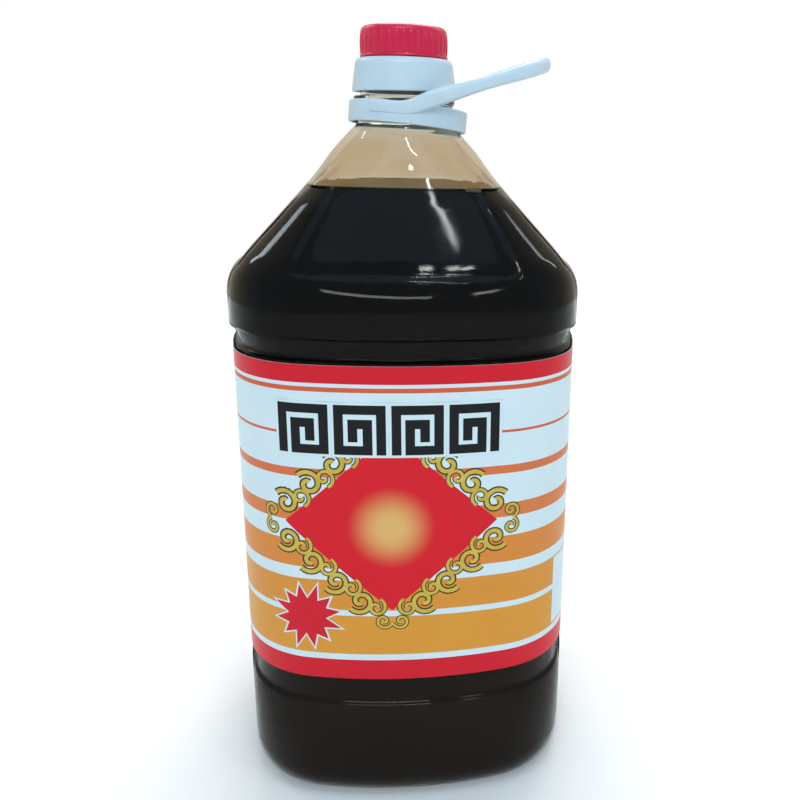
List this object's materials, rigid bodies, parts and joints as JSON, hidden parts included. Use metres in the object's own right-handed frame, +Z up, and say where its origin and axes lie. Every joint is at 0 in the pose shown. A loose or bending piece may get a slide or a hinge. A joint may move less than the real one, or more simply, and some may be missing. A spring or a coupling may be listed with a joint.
{
  "type": "sauce bottle",
  "caption": "Large clear plastic jug of dark sauce with a rounded-square body, flat shoulder panels, wrap label, capped round neck and a carry ring with a loop handle.",
  "frame": {"origin": "middle of the bounding box's bottom face, where the base stands", "axes": "+Z up along the jug, -Y out of the middle of the label's front, +X towards the side the loop handle leans to"},
  "size_m": [0.1544, 0.1544, 0.3295],
  "materials": {
    "clear_plastic": "clear, smooth and glossy",
    "dark_sauce": "brown-black liquid, golden where thin",
    "printed_label": "printed film, satin",
    "white_plastic": "bluish white, slightly glossy",
    "red_plastic": "red, slightly glossy, ribbed grip"
  },
  "bodies": {
    "root": {"bottle": "clear_plastic", "soy_sauce": "dark_sauce", "label": "printed_label", "cap_collar": "white_plastic", "cap_lid": "red_plastic", "handle": "white_plastic"}
  },
  "joints": []
}
